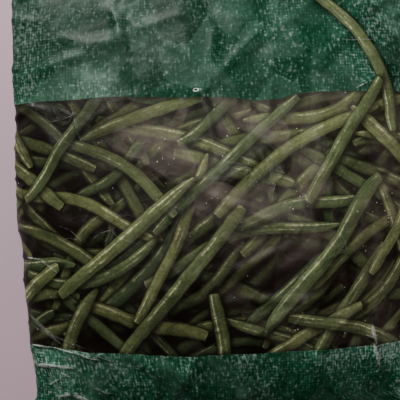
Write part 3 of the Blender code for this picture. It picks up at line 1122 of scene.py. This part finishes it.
def painted_sheen_over(inks, flat, colour, amount, sheen):
    """Painted reflection of the light on the wrinkled film: a pale sheen in patches, some with crisp edges.
    """
    p, q, _ = inks.split(flat)
    wide = inks.step(inks.noise(flat, 15.0, 2.0, 0.5), 0.44, 0.70)
    small = inks.step(inks.noise(flat, 55.0, 3.0, 0.6), 0.34, 0.66)
    crisp_sheen = inks.step(inks.noise(flat, 31.0, 1.0, 0.4), 0.515, 0.545)
    slanted = inks.join(p * 0.50 - q * 0.24, p * 0.55 + q * 1.10, 0.0)
    crumple = inks.step(inks.noise(slanted, 78.0, 3.0, 0.5), 0.36, 0.62, 0.55, 1.50)
    patch = (crisp_sheen * 0.40 + wide * small) * crumple
    return inks.mix((patch * amount).held(), colour, sheen)


def facets(inks, p, q):
    """One random value from 0 to 1 for each flat facet of the creased film, which sets that facet's painted
    light and shade.
    """
    bend = inks.noise(inks.join(p, q, 0.0), 34.0, 2.0, 0.5) - 0.5
    _, values = inks.cells(inks.join(p + bend * 0.020, q * 0.62 + bend * 0.016, 0.0), 52.0)
    return values[0]


def pale_dots_over(inks, flat, colour):
    """Sparse pale dots over the picture, thicker in a few clusters."""
    distance, (chosen, size, _) = inks.cells(flat, 640.0)
    cluster = inks.step(inks.noise(flat, 30.0, 2.0, 0.6), 0.58, 0.68, 0.995, 0.72)
    dot = inks.math("LESS_THAN", distance, size * 0.22 + 0.10) * inks.math("GREATER_THAN", chosen, cluster)
    return inks.mix(dot * 0.7, colour, PALE_DOT)


def cloth_colour(inks, settings, flat):
    """Green cloth: its pale threads come and go along both ways of the weave."""
    p, q, _ = inks.split(flat)
    upright = inks.noise(inks.join(p * 760.0, q * 290.0, 0.0), 1.0, 1.0, 0.5)
    level = inks.noise(inks.join(p * 380.0, q * 700.0, 7.0), 1.0, 1.0, 0.5)
    turn = 2 * math.pi / THREAD_PITCH
    woven = inks.step(inks.noise(flat, 24.0, 2.0, 0.5), 0.45, 0.62, 0.004, 0.030)
    dots = (inks.math("COSINE", p * turn) + inks.math("COSINE", q * turn)) * woven
    worn = inks.step(inks.noise(flat, 38.0, 4.0, 0.65), 0.32, 0.68, -0.060, 0.070)
    sides = inks.step(abs(p), 0.045, 0.110, -0.022, 0.035)
    footer = inks.step(q, 0.02, -0.06, 0.0, 0.012)
    border_wear = inks.step(q, -0.114, -0.098, 0.0, 0.045) - inks.step(q, -0.098, -0.080, 0.0, 0.045)
    threads = upright * 0.60 + level * 0.40 + dots + worn + sides + footer + border_wear
    full = settings.cloth
    deep = (full[0] * 0.72, full[1] * 0.80, full[2] * 0.78)
    base = inks.mix(inks.step(inks.noise(flat, 26.0, 2.0, 0.5), 0.36, 0.66), deep, full)
    dark = inks.mix(1.0, base, (0.42, 0.60, 0.51), "MULTIPLY")
    base = inks.mix(inks.step(threads, 0.37, 0.53), dark, base)
    return inks.mix(inks.step(threads, 0.51, 0.82, 0.0, 0.88), base, settings.thread)


def cloth_print(settings):
    """The woven-look print of the header, the footer and the back, with painted shade and painted
    reflections of the light on the film.
    """
    inks = Inks("woven_print")
    flat = inks.attribute("flat_film")
    p, q, _ = inks.split(flat)
    footer = inks.step(q, 0.02, -0.06)
    # Painted shade: the header darker towards its upper left, and the print a little darker on the left and
    # lighter on the right.
    header = inks.step(q, 0.030, 0.090) * inks.step(p, 0.040, -0.040)
    colour = cloth_colour(inks, settings, flat) * (footer * 0.40 + 0.83)
    colour *= (1 - header * 0.44) * inks.step(p, -0.01, 0.04, 0.93, 1.06)
    colour *= 1 - inks.attribute("bean_shadow", "Fac") * 0.75
    # Painted reflections of the light on the film in patches, and painted light and shade on each facet of
    # the creased film.
    colour = painted_sheen_over(inks, flat, colour, 0.16, CLOTH_SHEEN)
    facet = facets(inks, p, q)
    colour *= facet * 0.38 + 0.81
    colour = inks.mix(inks.step(facet, 0.55, 1.0, 0.0, 0.10), colour, CLOTH_SHEEN)
    film_finish(inks, flat, colour, 0.04, 1.18)
    return inks.material


def bean_shine(inks, pod, seat, breadth, shift, from_value):
    """A long bright line with small breaks along a bean, at the place across it that seat gives."""
    along, across, tone = pod

    def drift(rate, other, detail):
        """Noise along a bean, different for every bean."""
        return inks.noise(inks.join(along * rate, shift, tone * other), 1.0, detail, 0.6)

    at = (drift(75.0, 170.0, 2.0) - 0.5) * 0.40 + seat
    gap = (across - at) / (inks.step(drift(330.0, 90.0, 2.0), 0.30, 0.75, 0.5, 1.9) * breadth)
    line = inks.math("EXPONENT", gap * gap * -1.0)
    whole = inks.step(drift(26.0, 430.0, 5.0), from_value, from_value + 0.10)
    return line * whole * inks.step(drift(380.0, 290.0, 1.0), 0.34, 0.56, 0.35, 1.0)


def pod_colour(inks, settings, p, q):
    """Each printed bean, shaded as a round pod lit from the upper left, over the dark between them."""
    pod = inks.split(inks.attribute("bean"))
    along, across, tone = pod
    cosine, sine, depth = inks.split(inks.attribute("bean_lie"))
    light_x, light_y, light_z = PRINT_LIGHT
    facing = cosine * light_y - sine * light_x
    upward = inks.math("SQRT", (1 - across * across).held())
    lit = (across * facing + upward * light_z).held()

    def skin(rate, spread, other, detail):
        """Noise over a bean's skin, different for every bean."""
        return inks.noise(inks.join(along * rate, across * spread, tone * other), 1.0, detail, 0.6)

    mottle = skin(230.0, 1.6, 500.0, 3.0)
    streaks = skin(34.0, 1.9, 310.0, 2.0)
    near = (1 - depth).held()
    unshaded = 1 - inks.attribute("bean_shadow", "Fac") * 0.85
    amount = (lit * 0.46 + 0.40) * (mottle * 0.7 + 0.65) * (streaks * 0.5 + 0.75) * unshaded
    amount *= near**1.2 * 0.85 + 0.15
    hue = ((streaks - 0.5) * 1.2 + tone).held()
    body = inks.mix(hue, settings.dull_bean, settings.bright_bean) * amount
    body = inks.mix(inks.step(along, 0.0010, 0.0003) * amount * 0.30, body, STEM_CUT)
    side = inks.math("SIGN", facing)
    first = bean_shine(inks, pod, side * 0.44, 0.090, 0.0, 0.45)
    second = bean_shine(inks, pod, side * -0.22, 0.075, 11.0, 0.54)
    shine = inks.math("MAXIMUM", first, second * 0.65) * unshaded * (near**2.0 * 0.95 + 0.03)
    body = inks.mix((shine * inks.step(p, -0.02, 0.06, 1.1, 0.88)).held(), body, BEAN_SHINE)
    is_bean = inks.step(abs(cosine) + abs(sine), 0.4, 0.6)
    soft_edge = inks.step(1 - abs(across), -0.04, depth * 0.95 + 0.12)
    return inks.mix(is_bean * soft_edge, settings.gap, body * inks.step(q, -0.02, 0.03, 1.0, 1.06))


def bean_print(settings):
    """The picture of beans, with painted shade on the left and in its upper left corner, and painted
    reflections of the light on the film, most in its upper middle.
    """
    inks = Inks("bean_picture")
    flat = inks.attribute("flat_film")
    p, q, _ = inks.split(flat)
    colour = pod_colour(inks, settings, p, q) * (inks.noise(flat, 640.0, 2.0, 0.6) * 1.1 + 0.45)
    colour = pale_dots_over(inks, flat, colour)
    # Painted shade: darker on the left, and darker still in the upper left corner.
    left = inks.step(p, -0.015, -0.075)
    corner = left * inks.step(q, -0.010, 0.035)
    colour *= inks.step(p, -0.085, 0.080, 0.71, 1.12) * (1 - corner * 0.50)
    # Painted reflections of the light on the film, weaker on the left: a pool in the upper middle, some on
    # the right, an even sheen, and a pale sheen with painted light and shade on random facets.
    clear = 1 - left * 0.80
    off = (p + 0.004) / 0.060
    high = (q - 0.020) / 0.038
    middle = inks.math("EXPONENT", (off * off + high * high) * -1.0) * clear
    right = inks.step(p, -0.02, 0.08)
    sheen = middle * 0.30 + right * 0.095 + clear * 0.028
    colour = painted_sheen_over(inks, flat, colour, sheen, PICTURE_SHEEN)
    even = (right * inks.step(q, -0.06, 0.05) + middle) * 0.035
    colour = inks.mix(even, colour, EVEN_SHEEN)
    facet = facets(inks, p, q)
    pale = inks.step(facet, 0.50, 1.0) * (middle * 0.08 + clear * 0.02)
    colour = inks.mix(pale, colour * (facet * 0.20 + 0.90), FACET_SHEEN)
    film_finish(inks, flat, colour)
    return inks.material


def panel_print(settings):
    """The pale blank panel on the back."""
    inks = Inks("blank_panel")
    flat = inks.attribute("flat_film")
    mottle = inks.noise(flat, 60.0, 3.0, 0.6)
    film_finish(inks, flat, inks.mix(mottle, srgb(206, 204, 186), srgb(224, 222, 206)))
    return inks.material


def vent_print(settings):
    """Film round a vent: stretched pale, with a painted highlight on its raised lip."""
    inks = Inks("stretched_film_and_sheen")
    flat = inks.attribute("flat_film")
    mottle = inks.step(inks.noise(flat, 1500.0, 2.0, 0.6), 0.35, 0.6)
    film_finish(inks, flat, inks.mix(mottle, srgb(92, 116, 104), srgb(214, 220, 214)))
    return inks.material


def frozen_skin(settings):
    """Skin of the frozen beans: satin green, mottled, with a little frost."""
    inks = Inks("frozen_bean_skin")
    place = inks.object_place()
    mottle = inks.noise(place, 190.0, 4.0, 0.6)
    dark = tuple(value * 0.45 for value in settings.skin)
    colour = inks.mix(inks.step(mottle, 0.3, 0.7), dark, settings.skin)
    frost = inks.step(inks.noise(place, 620.0, 3.0, 0.7), 0.62, 0.74)
    colour = inks.mix(frost * 0.35, colour, srgb(214, 222, 214))
    inks.feed(colour, inks.shader.inputs["Base Color"])
    inks.shader.inputs["Roughness"].default_value = 0.42
    inks.feed(inks.bump(mottle, 0.0006, 0.5), inks.shader.inputs["Normal"])
    return inks.material


def new_piece(name, mesh):
    """Links a finished mesh to the scene, at the origin."""
    piece = bpy.data.objects.new(name, mesh)
    bpy.context.scene.collection.objects.link(piece)
    return piece


def print_material(name, make):
    """The ink of that name, made once."""
    found = bpy.data.materials.get(name)
    return found or make(bpy.context.scene.bean_bag_print)


class BEANBAG_OT_film(bpy.types.Operator):
    """Makes the filled, printed film with its vents"""

    bl_idname = "bean_bag.film"
    bl_label = "Printed Film"

    def execute(self, context):
        settings = context.scene.bean_bag_film
        beans, over = picture_beans(context.scene.bean_bag_print)
        shape = FilledFilm(settings)
        vents = [(shape.round_from_x(x, y), y, *rest) for x, y, *rest in VENTS]
        plan = FilmPlan(settings, beans, over, vents, shape.folds)
        inks = [
            print_material("woven_print", cloth_print),
            print_material("bean_picture", bean_print),
            print_material("blank_panel", panel_print),
            print_material("stretched_film_and_sheen", vent_print),
        ]
        piece = new_piece("printed_film", film_mesh(plan, shape, inks))
        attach(piece, "root")
        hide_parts("film_bag")
        return {"FINISHED"}


def rib_tree():
    """Geometry nodes that repeat a rail as round ribs, side by side."""
    tree = bpy.data.node_groups.new("Crimped ribs", "GeometryNodeTree")
    inputs = {
        "Rail": "Geometry",
        "Ribs": "Int",
        "Step": "Vector",
        "Rib radius": "Float",
        "Film": "Material",
    }
    for name, kind in inputs.items():
        tree.interface.new_socket(name, in_out="INPUT", socket_type="NodeSocket" + kind)
    tree.interface.new_socket("Ribs made", in_out="OUTPUT", socket_type="NodeSocketGeometry")
    nodes, links = tree.nodes, tree.links
    given = nodes.new("NodeGroupInput")
    made = nodes.new("NodeGroupOutput")
    copies = nodes.new("GeometryNodeDuplicateElements")
    copies.domain = "SPLINE"
    shift = nodes.new("ShaderNodeVectorMath")
    shift.operation = "SCALE"
    move = nodes.new("GeometryNodeSetPosition")
    profile = nodes.new("GeometryNodeCurvePrimitiveCircle")
    profile.inputs["Resolution"].default_value = 6
    sweep = nodes.new("GeometryNodeCurveToMesh")
    sweep.inputs["Fill Caps"].default_value = True
    place = nodes.new("GeometryNodeInputPosition")
    store = nodes.new("GeometryNodeStoreNamedAttribute")
    store.data_type = "FLOAT_VECTOR"
    store.inputs["Name"].default_value = "flat_film"
    smooth_shade = nodes.new("GeometryNodeSetShadeSmooth")
    real = nodes.new("GeometryNodeRealizeInstances")
    dress = nodes.new("GeometryNodeSetMaterial")
    for source, output, target, socket in (
        (given, "Rail", copies, "Geometry"),
        (given, "Ribs", copies, "Amount"),
        (given, "Step", shift, 0),
        (copies, "Duplicate Index", shift, "Scale"),
        (copies, "Geometry", move, "Geometry"),
        (shift, 0, move, "Offset"),
        (given, "Rib radius", profile, "Radius"),
        (move, 0, sweep, "Curve"),
        (profile, "Curve", sweep, "Profile Curve"),
        (sweep, 0, store, "Geometry"),
        (place, 0, store, "Value"),
        (store, 0, smooth_shade, "Geometry"),
        (smooth_shade, 0, real, 0),
        (real, 0, dress, "Geometry"),
        (given, "Film", dress, "Material"),
        (dress, 0, made, 0),
    ):
        links.new(source.outputs[output], target.inputs[socket])
    return tree


def ribs_along(name, rail, count, step, radius, film):
    """Runs the rib tree on a rail of points and returns the ribs as a plain mesh piece."""
    curve = bpy.data.curves.new(name + "_rail", "CURVE")
    curve.dimensions = "3D"
    spline = curve.splines.new("POLY")
    spline.points.add(len(rail) - 1)
    for point, place in zip(spline.points, rail):
        point.co = (*place, 1.0)
    guide = bpy.data.objects.new(name + "_rail", curve)
    bpy.context.scene.collection.objects.link(guide)
    tree = bpy.data.node_groups.get("Crimped ribs") or rib_tree()
    modifier = guide.modifiers.new("Crimped ribs", "NODES")
    modifier.node_group = tree
    values = {"Ribs": count, "Step": step, "Rib radius": radius, "Film": film}
    for item in tree.interface.items_tree:
        if item.in_out == "INPUT" and item.name in values:
            modifier[item.identifier] = values[item.name]
    evaluated = guide.evaluated_get(bpy.context.evaluated_depsgraph_get())
    mesh = bpy.data.meshes.new_from_object(evaluated)
    bpy.data.objects.remove(guide)
    bpy.data.curves.remove(curve)
    mesh.name = name
    return new_piece(name, mesh)


# The ribs stop this far from the sides, and the first runs this far from the cut end.
RIB_SIDE_MARGIN = 0.0012
RIB_END_MARGIN = 0.0026
RAIL_POINTS = 210


class BEANBAG_OT_seal_ribs(bpy.types.Operator):
    """Makes the crimped ribs across both end seals"""

    bl_idname = "bean_bag.seal_ribs"
    bl_label = "Seal Ribs"

    def execute(self, context):
        settings = context.scene.bean_bag_ribs
        shape = FilledFilm(context.scene.bean_bag_film)
        film = print_material("woven_print", cloth_print)
        for name, end in (("bottom_seal_ribs", -1), ("top_seal_ribs", 1)):
            p = np.linspace(-HALF_WIDTH + RIB_SIDE_MARGIN, HALF_WIDTH - RIB_SIDE_MARGIN, RAIL_POINTS)
            q = np.full(len(p), end * (HALF_LENGTH - RIB_END_MARGIN))
            rail = shape.places(p, q)
            rail[:, 2] -= SHEET_GAP / 2
            step = (0.0, -end * settings.spacing, 0.0)
            piece = ribs_along(name, rail.tolist(), settings.count, step, settings.radius, film)
            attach(piece, "root")
        return {"FINISHED"}


# The fin's sheets, how far they lie off the back, and how far the fin stops from the cut ends.
FIN_THICKNESS = 0.00022
FIN_LIFT = 0.00025
FIN_EDGE_LIFT = 0.0001
FIN_END_MARGIN = 0.0016


class BEANBAG_OT_back_fin(bpy.types.Operator):
    """Makes the long seal down the back, folded flat to one side"""

    bl_idname = "bean_bag.back_fin"
    bl_label = "Back Fin"

    def execute(self, context):
        shape = FilledFilm(context.scene.bean_bag_film)
        columns, rows = 9, 140
        q = np.linspace(-HALF_LENGTH + FIN_END_MARGIN, HALF_LENGTH - FIN_END_MARGIN, rows)
        mesh = bmesh.new()
        grid = []
        for column in range(columns):
            share = column / (columns - 1)
            width = FIN_WIDTH + 0.0005 * np.sin(90 * q) + 0.0003 * np.sin(260 * q + 1)
            p = BAG_WIDTH - 0.0002 - share * width
            points = shape.places(p, q) + shape.normals(p, q) * (FIN_LIFT + FIN_EDGE_LIFT * share)
            grid.append([mesh.verts.new(point) for point in points])
        for near, far in zip(grid, grid[1:]):
            for k in range(rows - 1):
                mesh.faces.new((near[k], near[k + 1], far[k + 1], far[k]))
        bmesh.ops.recalc_face_normals(mesh, faces=mesh.faces[:])
        data = bpy.data.meshes.new("back_fin")
        mesh.to_mesh(data)
        mesh.free()
        data.shade_smooth()
        places = np.empty(len(data.vertices) * 3, np.float32)
        data.vertices.foreach_get("co", places)
        flat = data.attributes.new("flat_film", "FLOAT_VECTOR", "POINT")
        flat.data.foreach_set("vector", places)
        data.materials.append(print_material("woven_print", cloth_print))
        fin = new_piece("back_fin", data)
        wall = fin.modifiers.new("Two sheets", "SOLIDIFY")
        wall.thickness = FIN_THICKNESS
        wall.offset = 0.0
        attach(fin, "root")
        return {"FINISHED"}


class BEANBAG_OT_contents(bpy.types.Operator):
    """Makes the frozen beans inside, rounded from their CAD layers"""

    bl_idname = "bean_bag.contents"
    bl_label = "Frozen Beans"

    def execute(self, context):
        settings = context.scene.bean_bag_contents
        skin = frozen_skin(settings)
        for layer in ("beans_bottom", "beans_middle", "beans_top"):
            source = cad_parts[layer].data
            mesh = bmesh.new()
            mesh.from_mesh(source)
            bmesh.ops.remove_doubles(mesh, verts=mesh.verts[:], dist=WELD_APART)
            data = bpy.data.meshes.new("frozen_" + layer)
            mesh.to_mesh(data)
            mesh.free()
            data.materials.clear()
            data.materials.append(skin)
            data.shade_smooth()
            piece = new_piece("frozen_" + layer, data)
            rounding = piece.modifiers.new("Round pods", "SUBSURF")
            rounding.levels = rounding.render_levels = settings.rounding
            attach(piece, "root")
            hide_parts(layer)
        return {"FINISHED"}


# The view: the place on the bag at the middle of the picture, and the camera's film width in mm.
LOOK_AT = (-0.0105, -0.0110, 0.038)
PICTURE_PIXELS = 400
SENSOR = 36.0
FLOOR_REACH = 6.0
FLOOR_LEVEL = -0.0003
KEY_PLACE = (-0.40, 0.92, 0.48)
OVERHEAD_PLACE = (0.10, 0.26, 1.10)


def soft_light(name, place, size, watts, colour):
    """A square area light that faces the bag."""
    data = bpy.data.lights.new(name, "AREA")
    data.shape = "SQUARE"
    data.size = size
    data.energy = watts
    data.color = colour
    light = bpy.data.objects.new(name, data)
    light.location = place
    light.rotation_euler = (Vector(LOOK_AT) - Vector(place)).to_track_quat("-Z", "Y").to_euler()
    bpy.context.scene.collection.objects.link(light)


class BEANBAG_OT_stage(bpy.types.Operator):
    """Makes the camera, the pale floor and the soft light"""

    bl_idname = "bean_bag.stage"
    bl_label = "Stage"

    def execute(self, context):
        settings = context.scene.bean_bag_stage
        camera = bpy.data.objects.new("camera", bpy.data.cameras.new("camera"))
        context.scene.collection.objects.link(camera)
        camera.data.sensor_width = SENSOR
        camera.data.lens = settings.lens
        span = PICTURE_PIXELS * settings.mm_per_pixel / 1000
        camera.location = Vector(LOOK_AT) + Vector((0, 0, span * settings.lens / SENSOR))
        camera.rotation_euler = (0, 0, settings.roll)
        context.scene.camera = camera
        floor_mesh = bpy.data.meshes.new("floor")
        corners = [(-1, -1), (1, -1), (1, 1), (-1, 1)]
        points = [(x * FLOOR_REACH, y * FLOOR_REACH, FLOOR_LEVEL) for x, y in corners]
        floor_mesh.from_pydata(points, [], [(0, 1, 2, 3)])
        floor = new_piece("floor", floor_mesh)
        inks = Inks("pale_floor")
        inks.feed(settings.floor, inks.shader.inputs["Base Color"])
        inks.shader.inputs["Roughness"].default_value = 0.7
        floor_mesh.materials.append(inks.material)
        soft_light("key", KEY_PLACE, 0.45, settings.key, (1.0, 0.98, 0.93))
        soft_light("overhead", OVERHEAD_PLACE, 0.34, settings.fill, (1.0, 0.94, 0.95))
        world = bpy.data.worlds.new("even_light")
        world.use_nodes = True
        background = world.node_tree.nodes["Background"]
        background.inputs["Color"].default_value = (1.0, 0.96, 0.92, 1.0)
        background.inputs["Strength"].default_value = settings.ambient
        context.scene.world = world
        return {"FINISHED"}


class BEANBAG_PT_panel(bpy.types.Panel):
    """Lists the bag's pieces in the order in which they are made"""

    bl_label = "Bean Bag"
    bl_idname = "BEANBAG_PT_panel"
    bl_space_type = "VIEW_3D"
    bl_region_type = "UI"
    bl_category = "Bean Bag"

    def draw(self, context):
        for operator, group in STEPS:
            box = self.layout.box()
            box.operator(operator)
            if group:
                settings = getattr(context.scene, group)
                for name in settings.bl_rna.properties.keys():
                    if name not in ("rna_type", "name"):
                        box.prop(settings, name)


STEPS = [
    ("bean_bag.stage", "bean_bag_stage"),
    ("bean_bag.film", "bean_bag_film"),
    ("bean_bag.seal_ribs", "bean_bag_ribs"),
    ("bean_bag.back_fin", "bean_bag_print"),
    ("bean_bag.contents", "bean_bag_contents"),
]
GROUPS = {
    "bean_bag_film": FilmSettings,
    "bean_bag_print": PrintSettings,
    "bean_bag_ribs": RibSettings,
    "bean_bag_contents": ContentsSettings,
    "bean_bag_stage": StageSettings,
}
CLASSES = [
    FilmSettings,
    PrintSettings,
    RibSettings,
    ContentsSettings,
    StageSettings,
    BEANBAG_OT_film,
    BEANBAG_OT_seal_ribs,
    BEANBAG_OT_back_fin,
    BEANBAG_OT_contents,
    BEANBAG_OT_stage,
    BEANBAG_PT_panel,
]


def register():
    """Registers the classes and gives the scene its groups of settings."""
    for item in CLASSES:
        bpy.utils.register_class(item)
    for name, group in GROUPS.items():
        setattr(bpy.types.Scene, name, PointerProperty(type=group))


def unregister():
    """Takes the settings and the classes away again."""
    for name in GROUPS:
        delattr(bpy.types.Scene, name)
    for item in reversed(CLASSES):
        bpy.utils.unregister_class(item)


def main():
    """Makes all the pieces in order."""
    register()
    for operator, _ in STEPS:
        group, name = operator.split(".")
        result = getattr(getattr(bpy.ops, group), name)()
        if result != {"FINISHED"}:
            raise RuntimeError(f"{operator} didn't finish")
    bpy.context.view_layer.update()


if __name__ == "__main__":
    main()
